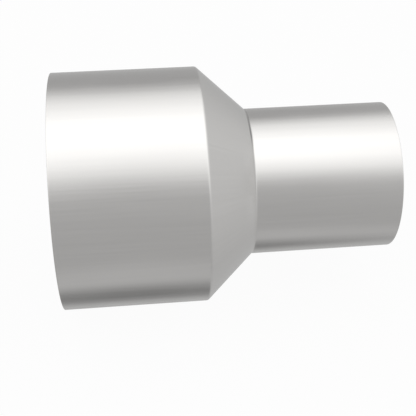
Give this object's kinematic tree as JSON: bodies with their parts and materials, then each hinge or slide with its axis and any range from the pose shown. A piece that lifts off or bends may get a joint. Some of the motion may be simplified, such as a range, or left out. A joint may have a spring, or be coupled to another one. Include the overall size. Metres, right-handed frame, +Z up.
{
  "type": "concentric reducer",
  "caption": "Thin-walled concentric pipe reducer: a wide straight collar, a short steep cone and a narrower straight collar, rolled and welded, plain ends.",
  "frame": {"origin": "centre of the large end's face, on the reducer's axis", "axes": "+X along the axis from the large end to the small end, +Z up with the axis horizontal, +Y away from the usual viewer"},
  "size_m": [0.1778, 0.127, 0.127],
  "materials": {
    "stainless_sheet": "satin, drawn lengthwise",
    "weld_metal": "ground flush outside, as welded inside"
  },
  "bodies": {
    "root": {"large_collar": "stainless_sheet", "cone_shell": "stainless_sheet", "small_collar": "stainless_sheet", "large_collar_seam_weld": "weld_metal", "cone_seam_weld": "weld_metal", "small_collar_seam_weld": "weld_metal", "large_girth_weld": "weld_metal", "small_girth_weld": "weld_metal"}
  },
  "joints": []
}
